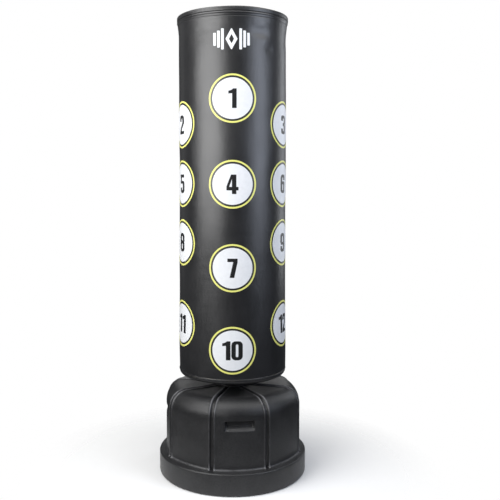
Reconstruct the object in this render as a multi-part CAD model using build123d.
from build123d import *
import math
import os

# Free standing boxing bag: a foam cylinder in a vinyl cover, on a rubber neck, on a ballast tank.
# Millimetres. +Z is up, the floor is z = 0, and the axis of bag and base is the Z axis.
# A "turn" is an angle in degrees about +Z from the front (-Y), growing towards the right (+X).

# ---------------------------------------------------------------- driving dimensions
TOTAL_HEIGHT = 1700.0
GAP = 0.3                # between layers, and between pieces that move past each other

# bag
BAG_R = 200.0            # outside of the cover along the straight of the bag
BAG_BOTTOM = 372.0
BAG_EDGE_R = 14.0        # rounding of the bag's lower edge
COVER_T = 1.5            # vinyl
LOWER_SEAM_Z = BAG_BOTTOM + 18.0
RIM_R = 206.5            # widest point of the rim
RIM_HEIGHT = 17.0        # height of the binding round the top
BINDING_T = 7.0
FLARE_HEIGHT = 60.0      # the cover widens over this height below the binding
BOARD_T = 12.0
CORE_R = 45.0
CORE_WALL = 4.0
FOAM_R = 197.0
FOAM_SPLIT_R = 115.0     # firm foam inside this radius, soft foam outside it
SEAM_CORD_R = 2.0

# base tank
RING_R = 278.0           # round foot
RING_EDGE_Z = 80.0       # top of the foot at its rim
RING_ROUND = 9.0
LEDGE_RISE = 6.0         # the ledge climbs this much from its rim to the wall
RECESS = 4.0             # hollow under the foot
RECESS_R = 206.0
PANELS = 8
TANK_TURN = 6.0          # the front panel faces this far to the right of the front
CORNER_R = 258.0
PANEL_R = 252.0          # middle of a panel, so each panel is bowed
SHOULDER_Z = 267.0       # the wall ends and the shoulder begins
SHOULDER_R = 60.0
COVE_R = 8.0             # hollow rounding where the wall meets the ledge
TANK_WALL = 5.0
CHANNEL_HALF = 6.5       # half the width of the channel down each corner
CHANNEL_DEPTH = 7.0
CHANNEL_END_R = 44.0     # the channels run in under the neck's flange
LIP_HALF = 9.5           # bevelled lips of the channel
LIP_DEPTH = 1.6
SAND_Z = 268.0           # level of the sand

# hand grips, one in every other panel
GRIP_HALF = 52.0
GRIP_TOP = 257.0
GRIP_BOTTOM = 223.0
GRIP_BACK_Z = 239.0      # lower edge of the grip's back wall, where its sloping sill ends
GRIP_DEPTH = 18.0

# post under the neck, in the middle of the tank
POST_R = 68.0
POST_TOP_T = 30.0
POST_BORE_R = 52.0       # the post is open from below

# neck: steel flange, rubber, steel plate, rubber, steel flange
FLANGE_R = 64.0
FLANGE_T = 5.0
PLATE_R = 42.0
PLATE_T = 4.0
RUBBER_R = 41.0
RUBBER_WAIST_R = 36.0

# the neck's bolts, in inserts in the tank and in tee nuts in the bag's lower board
BOLTS = 4
BOLT_CIRCLE_R = 53.0
BOLT_R = 4.0
BOLT_HOLE_R = 4.5
BOLT_HEAD_R = 7.5        # across corners
BOLT_HEAD_T = 5.3
BOLT_LENGTH = 18.0
INSERT_R = 6.0
INSERT_H = 22.0
TEE_R = 5.0
TEE_FLANGE_R = 10.0
TEE_FLANGE_T = 1.5
NUT_FIT = 0.1            # between a thread's two plain walls, and round an insert

# filler in the tank's top, behind the neck
FILLER_R = 160.0
FILLER_PAD_R = 34.0
FILLER_PAD_Z = 316.0     # the pad is let into the tank's top
SPOUT_R = 22.0
SPOUT_BORE_R = 17.5
SPOUT_Z = 326.0
CAP_R = 29.0
CAP_TOP_T = 3.0
CAP_RIBS = 24
CAP_RIB_R = 1.6
GASKET_T = 2.0

# zip up the back of the cover
ZIP_BOTTOM = 430.0
ZIP_TOP = 1620.0
ZIP_SLOT_HALF = 4.5
TEETH_HALF = 3.0
TEETH_OUT = 200.8        # radius that the teeth reach
TAPE_HALF = 18.0
TAPE_T = 0.9
STOP_H = 4.0
SLIDER_HALF = 5.5
SLIDER_H = 18.0
SLIDER_T = 2.2
EAR_H = 7.0
EAR_OUT = 5.0
EAR_HALF = 1.5
PULL_PIN_R = 1.0
PULL_PIN_FIT = 0.08      # radial running clearance of the pull's pin
PULL_HALF = 4.5
PULL_T = 1.6
PULL_LENGTH = 30.0

# ---------------------------------------------------------------- worked-out dimensions
RIM_Z = TOTAL_HEIGHT - RIM_HEIGHT
COVER_TOP_Z = RIM_Z - GAP
LOWER_BOARD_Z = BAG_BOTTOM + COVER_T + GAP
CORE_Z = LOWER_BOARD_Z + BOARD_T + GAP
UPPER_BOARD_Z = COVER_TOP_Z - BOARD_T
CORE_H = UPPER_BOARD_Z - GAP - CORE_Z

HALF_PANEL = 180.0 / PANELS
half_chord = CORNER_R * math.sin(math.radians(HALF_PANEL))
sagitta = PANEL_R - CORNER_R * math.cos(math.radians(HALF_PANEL))
PANEL_ARC_R = (half_chord**2 + sagitta**2) / (2 * sagitta)
PANEL_AXIS = PANEL_ARC_R - PANEL_R    # a panel is an arc about an axis this far behind the Z axis
LEDGE_Z = RING_EDGE_Z + LEDGE_RISE
SEAT_Z = SHOULDER_Z + SHOULDER_R      # flat top of the tank, where the neck sits
FLOOR_T = RECESS + TANK_WALL

LOWER_RUBBER_Z = SEAT_Z + FLANGE_T
UPPER_FLANGE_Z = BAG_BOTTOM - FLANGE_T
RUBBER_H = (UPPER_FLANGE_Z - LOWER_RUBBER_Z - PLATE_T) / 2
PLATE_Z = LOWER_RUBBER_Z + RUBBER_H
UPPER_RUBBER_Z = PLATE_Z + PLATE_T

BACK = 180.0
FIRST_CORNER = TANK_TURN + HALF_PANEL
FIRST_BOLT = TANK_TURN + 2 * HALF_PANEL
PULL_PIN_Z = ZIP_BOTTOM + STOP_H + SLIDER_H - EAR_H / 2
PULL_PIN_OUT = TEETH_OUT + GAP + SLIDER_T + EAR_OUT / 2


# ---------------------------------------------------------------- helpers
def disc(radius, z, height):
    """A cylinder on the Z axis, from z up."""
    return Pos(0, 0, z) * Cylinder(radius, height, align=(Align.CENTER, Align.CENTER, Align.MIN))


def tube(outer, inner, z, height):
    """A plain tube on the Z axis, from z up."""
    return disc(outer, z, height) - disc(inner, z - 1, height + 2)


def spun(edges):
    """Revolve a closed outline of (distance from the axis, z) about the Z axis."""
    return revolve(Plane.XZ * make_face(edges), Axis.Z)


def upright(edges, width):
    """Extrude a closed outline of (x, z) along Y, half the width to each side."""
    return extrude(Plane.XZ * make_face(edges), width / 2, both=True)


def turned(shape, turn):
    """Turn a shape that was made facing +X so that it faces the given turn."""
    return Rot(0, 0, turn - 90) * shape


def around(shape, first_turn, count):
    """Copies of a shape that was made facing +X, evenly spaced about the Z axis."""
    return [turned(shape, first_turn + i * 360 / count) for i in range(count)]


def at_bolts(shape):
    """Copies of a shape on the Z axis, one at each bolt of the neck."""
    return around(Pos(BOLT_CIRCLE_R, 0, 0) * shape, FIRST_BOLT, BOLTS)


def group(shapes):
    """Several separate solids as one part."""
    return Compound(children=[shape.solid() for shape in shapes])


# ---------------------------------------------------------------- base tank
def shoulder(wall, inset):
    """Start, middle and end of the shoulder's arc, as (distance from the axis, z).

    wall is how far the wall stands from the axis, and inset moves the whole outline inwards.
    """
    radius = SHOULDER_R - inset
    centre = wall - SHOULDER_R
    angles = (math.pi / 2, math.pi / 4, 0)
    return [(centre + radius * math.cos(a), SHOULDER_Z + radius * math.sin(a)) for a in angles]


def panel_wedge(inset, bottom, with_cove):
    """One eighth of the tank's body, facing +X, with a bowed wall and a round shoulder."""
    start, middle, end = shoulder(PANEL_ARC_R, inset)
    top = (PANEL_AXIS, start[1])
    edges = Line(top, start) + ThreePointArc(start, middle, end) + Line(top, (PANEL_AXIS, bottom))
    if with_cove:
        foot = (end[0], LEDGE_Z + COVE_R)
        toe = (end[0] + COVE_R, LEDGE_Z)
        edges += Line(end, foot) + RadiusArc(foot, toe, -COVE_R)
        edges += Line(toe, (toe[0], bottom)) + Line((toe[0], bottom), (PANEL_AXIS, bottom))
    else:
        edges += Line(end, (end[0], bottom)) + Line((end[0], bottom), (PANEL_AXIS, bottom))
    swept = revolve(Plane.XZ * make_face(edges), Axis.Z, revolution_arc=2 * HALF_PANEL)
    swept = Pos(-PANEL_AXIS, 0, 0) * Rot(0, 0, -HALF_PANEL) * swept
    reach = 2 * CORNER_R
    side = reach * math.tan(math.radians(HALF_PANEL))
    sector = make_face(Polyline((0, 0), (reach, -side), (reach, side), close=True))
    return extrude(sector, TOTAL_HEIGHT) & swept


def tank_body(inset, bottom, with_cove):
    """The eight panels of the tank's body as one solid."""
    first, *others = around(panel_wedge(inset, bottom, with_cove), TANK_TURN, PANELS)
    return first + others


def channel_cutter(half, depth, margin=0):
    """What the channel over one corner takes away, facing +X, reaching a margin below the ledge."""
    start, middle, end = shoulder(CORNER_R, depth)
    inner = (CHANNEL_END_R, start[1])
    low = (end[0], LEDGE_Z - margin)
    edges = Line(inner, start) + ThreePointArc(start, middle, end) + Line(end, low)
    edges += Polyline(low, (RING_R, low[1]), (RING_R, TOTAL_HEIGHT), (inner[0], TOTAL_HEIGHT), inner)
    return upright(edges, 2 * half)


def grip_cutter(margin):
    """What one hand grip takes away, facing +X, grown by a margin."""
    back = PANEL_R - GRIP_DEPTH - margin
    mouth = RING_R
    sill = (GRIP_BACK_Z - GRIP_BOTTOM) / GRIP_DEPTH
    mouth_bottom = GRIP_BOTTOM - margin - (mouth - PANEL_R) * sill
    top = GRIP_TOP + margin
    corners = [(back, top), (mouth, top), (mouth, mouth_bottom), (back, GRIP_BACK_Z - margin)]
    return upright(Polyline(*corners, close=True), 2 * (GRIP_HALF + margin))


def cut_corners_and_grips(body, margin):
    """Take the channels and the hand grips out of a body, grown by a margin."""
    channel = channel_cutter(CHANNEL_HALF + margin, CHANNEL_DEPTH + margin, margin)
    body -= around(channel, FIRST_CORNER, PANELS)
    return body - around(grip_cutter(margin), TANK_TURN, PANELS // 2)


def ring_foot():
    """The tank's round foot, with a shallow recess under it."""
    flat_r = RING_R - RING_ROUND
    slope = LEDGE_RISE / (flat_r - PANEL_R)
    inner = (PANEL_R / 2, RING_EDGE_Z)
    under = (PANEL_R - 20, RING_EDGE_Z + (flat_r - PANEL_R + 20) * slope)
    outline = [
        (0, RECESS), (RECESS_R - RECESS, RECESS), (RECESS_R, 0), (RING_R, 0), (RING_R, RING_EDGE_Z),
        (flat_r, RING_EDGE_Z), under, inner, (0, RING_EDGE_Z),
    ]
    foot = spun(Polyline(*outline, close=True))
    rims = [e for e in foot.edges().filter_by(GeomType.CIRCLE) if abs(e.radius - RING_R) < 1]
    return fillet(rims, RING_ROUND - 1)


def tank_inside(gap):
    """The room inside the tank, less a gap all round."""
    inset = TANK_WALL + gap
    floor = RECESS + inset
    room = tank_body(inset, floor, False) + disc(RING_R - inset, floor, RING_EDGE_Z - inset - floor)
    return cut_corners_and_grips(room, inset) - disc(POST_R + gap, 0, TOTAL_HEIGHT)


def at_filler(shape):
    """Move a shape from the Z axis to the filler's place."""
    return turned(Pos(FILLER_R, 0, 0) * shape, BACK + TANK_TURN)


def base_tank():
    tank = tank_body(0, 2 * FLOOR_T, True) + ring_foot() + disc(POST_R, LEDGE_Z, SEAT_Z - LEDGE_Z)
    tank = cut_corners_and_grips(tank, 0)
    tank -= around(channel_cutter(LIP_HALF, LIP_DEPTH), FIRST_CORNER, PANELS)
    tank -= tank_inside(0)
    boss_z = FILLER_PAD_Z - TANK_WALL
    tank += at_filler(disc(FILLER_PAD_R + TANK_WALL, boss_z, SEAT_Z - boss_z - GAP))
    tank -= at_filler(disc(FILLER_PAD_R, FILLER_PAD_Z, TANK_WALL + SPOUT_Z))
    tank += at_filler(disc(SPOUT_R, boss_z, SPOUT_Z - boss_z))
    tank -= at_filler(disc(SPOUT_BORE_R, SHOULDER_Z, TOTAL_HEIGHT))
    tank -= disc(POST_BORE_R, -1, SEAT_Z - POST_TOP_T + 1)
    return tank - at_bolts(disc(INSERT_R, SEAT_Z - INSERT_H, INSERT_H + 1))


def sand_ballast():
    return tank_inside(GAP) & disc(RING_R, 0, SAND_Z)


# ---------------------------------------------------------------- filler cap
def filler_gasket():
    """The ring between the cap's top and the spout's rim."""
    return at_filler(tube(SPOUT_R - 0.5, SPOUT_BORE_R, SPOUT_Z, GASKET_T))


def filler_cap():
    skirt_z = FILLER_PAD_Z + GAP
    inner_top = SPOUT_Z + GASKET_T
    cap = disc(CAP_R, skirt_z, inner_top + CAP_TOP_T - skirt_z)
    cap = chamfer(cap.edges().group_by(Axis.Z)[-1], 1.2)
    cap -= disc(SPOUT_R + GAP, skirt_z - 1, inner_top - skirt_z + 1)
    for rib in around(Pos(CAP_R + CAP_RIB_R / 2, 0, 0) * disc(CAP_RIB_R, 0, TOTAL_HEIGHT), 0, CAP_RIBS):
        cap -= rib
    return at_filler(cap)


# ---------------------------------------------------------------- neck
def flange(z):
    return disc(FLANGE_R, z, FLANGE_T) - at_bolts(disc(BOLT_HOLE_R, z - 1, FLANGE_T + 2))


def rubber_block(z):
    """A rubber block bonded between two steel faces, waisted in the middle."""
    top, middle = z + RUBBER_H, z + RUBBER_H / 2
    edges = Polyline((RUBBER_R, z), (0, z), (0, top), (RUBBER_R, top))
    edges += ThreePointArc((RUBBER_R, top), (RUBBER_WAIST_R, middle), (RUBBER_R, z))
    return spun(edges)


def hex_bolt(face_z, up):
    """A bolt on the Z axis whose head bears on face_z; its shank points up or down."""
    head = extrude(RegularPolygon(BOLT_HEAD_R, 6), BOLT_HEAD_T)
    bolt = Pos(0, 0, -BOLT_HEAD_T) * head + disc(BOLT_R, 0, BOLT_LENGTH)
    bolt = bolt if up else Rot(180, 0, 0) * bolt
    return Pos(0, 0, face_z) * bolt


def insert_nuts():
    outer, bore = INSERT_R - NUT_FIT, BOLT_R + NUT_FIT
    return group(at_bolts(tube(outer, bore, SEAT_Z - INSERT_H, INSERT_H)))


def tee_nuts():
    """Flanged nuts let into the bag's lower board from above."""
    top = LOWER_BOARD_Z + BOARD_T
    nut = disc(TEE_R, LOWER_BOARD_Z, BOARD_T) + disc(TEE_FLANGE_R, top - TEE_FLANGE_T, TEE_FLANGE_T)
    return group(at_bolts(nut - disc(BOLT_R + NUT_FIT, BAG_BOTTOM, TOTAL_HEIGHT)))


# ---------------------------------------------------------------- inside the bag
def lower_board():
    top = LOWER_BOARD_Z + BOARD_T
    board = disc(FOAM_R - BAG_EDGE_R, LOWER_BOARD_Z, BOARD_T)
    board -= at_bolts(disc(TEE_R + NUT_FIT, LOWER_BOARD_Z - 1, BOARD_T + 2))
    flange_t = TEE_FLANGE_T + NUT_FIT
    return board - at_bolts(disc(TEE_FLANGE_R + NUT_FIT, top - flange_t, flange_t + 1))


def upper_board():
    """The wide board that spreads the top of the cover."""
    return disc(RIM_R - COVER_T - BINDING_T, UPPER_BOARD_Z, BOARD_T)


def foam(outer, inner):
    """A foam cylinder from board to board."""
    return tube(outer, inner, CORE_Z, CORE_H)


# ---------------------------------------------------------------- cover
def flared_wall(inset):
    """The cover's outline from the lower seam to the binding, as one open line."""
    low, flare = LOWER_SEAM_Z + SEAM_CORD_R + GAP, COVER_TOP_Z - FLARE_HEIGHT
    wall, rim = BAG_R - inset, RIM_R - 0.5 - inset
    line = Line((wall, low), (wall, flare))
    bow = Spline((wall, flare), (rim, COVER_TOP_Z), tangents=[(0, 1), (0.12, 1)])
    return line + bow, (wall, low), (rim, COVER_TOP_Z)


def cover_wall():
    outside, outer_low, outer_top = flared_wall(0)
    inside, inner_low, inner_top = flared_wall(COVER_T)
    wall = spun(outside + inside + Line(outer_low, inner_low) + Line(outer_top, inner_top))
    slot_h = ZIP_TOP - ZIP_BOTTOM
    slot = Pos(BAG_R, 0, (ZIP_TOP + ZIP_BOTTOM) / 2) * Box(4 * BOARD_T, 2 * ZIP_SLOT_HALF, slot_h)
    return wall - turned(slot, BACK)


def cover_bottom():
    """The lower end of the cover, drawn up round the edge to the lower seam."""
    edge = (BAG_R - BAG_EDGE_R, BAG_BOTTOM)
    side = (BAG_R, BAG_BOTTOM + BAG_EDGE_R)
    inner_r = BAG_EDGE_R - COVER_T
    inner_side = (BAG_R - COVER_T, side[1])
    inner_edge = (edge[0], BAG_BOTTOM + COVER_T)
    top = LOWER_SEAM_Z - SEAM_CORD_R - GAP
    edges = Line((0, BAG_BOTTOM), edge) + RadiusArc(edge, side, -BAG_EDGE_R)
    edges += Polyline(side, (BAG_R, top), (BAG_R - COVER_T, top), inner_side)
    edges += RadiusArc(inner_side, inner_edge, inner_r)
    edges += Polyline(inner_edge, (0, inner_edge[1]), (0, BAG_BOTTOM))
    return spun(edges) - at_bolts(disc(BOLT_HOLE_R, 0, TOTAL_HEIGHT))


def lower_seam_cord():
    """The thin piping in the seam near the bag's lower edge, standing a little proud."""
    return Pos(0, 0, LOWER_SEAM_Z) * Torus(BAG_R - SEAM_CORD_R / 4, SEAM_CORD_R)


def top_binding():
    """The soft rolled band round the top of the cover."""
    outer, inner = RIM_R, RIM_R - BINDING_T
    band = tube(outer, inner, RIM_Z, RIM_HEIGHT)
    return fillet(band.edges().filter_by(GeomType.CIRCLE), BINDING_T / 2 - 0.2)


def cover_top():
    return disc(RIM_R - BINDING_T - GAP, RIM_Z + RIM_HEIGHT / 2, COVER_T + 3)


# ---------------------------------------------------------------- zip
def zip_tape(side):
    """A strip of tape behind one edge of the zip's slot; side is -1 or 1."""
    inner = FOAM_R + GAP
    low, height = ZIP_BOTTOM - TAPE_HALF, ZIP_TOP - ZIP_BOTTOM + 2 * TAPE_HALF
    near, far = side * (TEETH_HALF + GAP), side * TAPE_HALF
    width = abs(far - near)
    strip = Pos(BAG_R, (near + far) / 2, low + height / 2) * Box(4 * BOARD_T, width, height)
    return turned(tube(inner + TAPE_T, inner, low, height) & strip, BACK)


def zip_block(half, inner, outer, z, height):
    """A block on the zip's line, from radius inner to outer."""
    block = Box(outer - inner, 2 * half, height)
    return turned(Pos((inner + outer) / 2, 0, z + height / 2) * block, BACK)


def zip_teeth():
    height = ZIP_TOP - ZIP_BOTTOM - 2 * STOP_H
    return zip_block(TEETH_HALF, FOAM_R + GAP, TEETH_OUT, ZIP_BOTTOM + STOP_H, height)


def zip_stops():
    height = STOP_H - GAP
    half, inner, outer = TEETH_HALF + 0.5, FOAM_R + GAP + TAPE_T + GAP, TEETH_OUT + 1
    return group([zip_block(half, inner, outer, z, height) for z in (ZIP_BOTTOM, ZIP_TOP - height)])


def pull_pin(radius, half):
    """The cross pin of the zip's pull, as a rod through the slider's ear."""
    return Pos(PULL_PIN_OUT, 0, PULL_PIN_Z) * Rot(90, 0, 0) * Cylinder(radius, 2 * half)


def zip_slider():
    inner = TEETH_OUT + GAP
    z = ZIP_BOTTOM + STOP_H
    plate = Pos(inner + SLIDER_T / 2, 0, z + SLIDER_H / 2) * Box(SLIDER_T, 2 * SLIDER_HALF, SLIDER_H)
    plate = fillet(plate.edges().filter_by(Axis.X), 3)
    ear = Pos(inner + SLIDER_T + EAR_OUT / 2, 0, PULL_PIN_Z) * Box(EAR_OUT, 2 * EAR_HALF, EAR_H)
    slider = plate + ear - pull_pin(PULL_PIN_R + PULL_PIN_FIT, SLIDER_HALF)
    return turned(slider, BACK)


def zip_pull():
    """A tab on a pin through the slider's ear, hanging straight down."""
    top = PULL_PIN_Z + 2 * PULL_PIN_R
    tab = Pos(PULL_PIN_OUT, 0, top - PULL_LENGTH / 2) * Box(PULL_T, 2 * PULL_HALF, PULL_LENGTH)
    tab = fillet(tab.edges().filter_by(Axis.X), 2)
    slot_h = EAR_H + 2
    tab -= Pos(PULL_PIN_OUT, 0, PULL_PIN_Z) * Box(2 * EAR_OUT, 2 * (EAR_HALF + GAP), slot_h)
    return turned(tab + pull_pin(PULL_PIN_R, PULL_HALF - 1), BACK)


# ---------------------------------------------------------------- the assembly
parts = {
    "base_tank": base_tank(),
    "sand_ballast": sand_ballast(),
    "insert_nuts": insert_nuts(),
    "filler_gasket": filler_gasket(),
    "filler_cap": filler_cap(),
    "lower_flange": flange(SEAT_Z),
    "lower_bolts": group(at_bolts(hex_bolt(LOWER_RUBBER_Z, False))),
    "lower_rubber": rubber_block(LOWER_RUBBER_Z),
    "neck_plate": disc(PLATE_R, PLATE_Z, PLATE_T),
    "upper_rubber": rubber_block(UPPER_RUBBER_Z),
    "upper_flange": flange(UPPER_FLANGE_Z),
    "upper_bolts": group(at_bolts(hex_bolt(UPPER_FLANGE_Z, True))),
    "tee_nuts": tee_nuts(),
    "lower_board": lower_board(),
    "core_tube": tube(CORE_R, CORE_R - CORE_WALL, CORE_Z, CORE_H),
    "upper_board": upper_board(),
    "inner_foam": foam(FOAM_SPLIT_R, CORE_R + GAP),
    "outer_foam": foam(FOAM_R, FOAM_SPLIT_R + GAP),
    "cover_wall": cover_wall(),
    "cover_bottom": cover_bottom(),
    "cover_top": cover_top(),
    "top_binding": top_binding(),
    "lower_seam_cord": lower_seam_cord(),
    "zip_tape_left": zip_tape(1),
    "zip_tape_right": zip_tape(-1),
    "zip_teeth": zip_teeth(),
    "zip_stops": zip_stops(),
    "zip_slider": zip_slider(),
    "zip_pull": zip_pull(),
}

os.makedirs("parts", exist_ok=True)
for name, shape in parts.items():
    export_step(shape, f"parts/{name}.step")
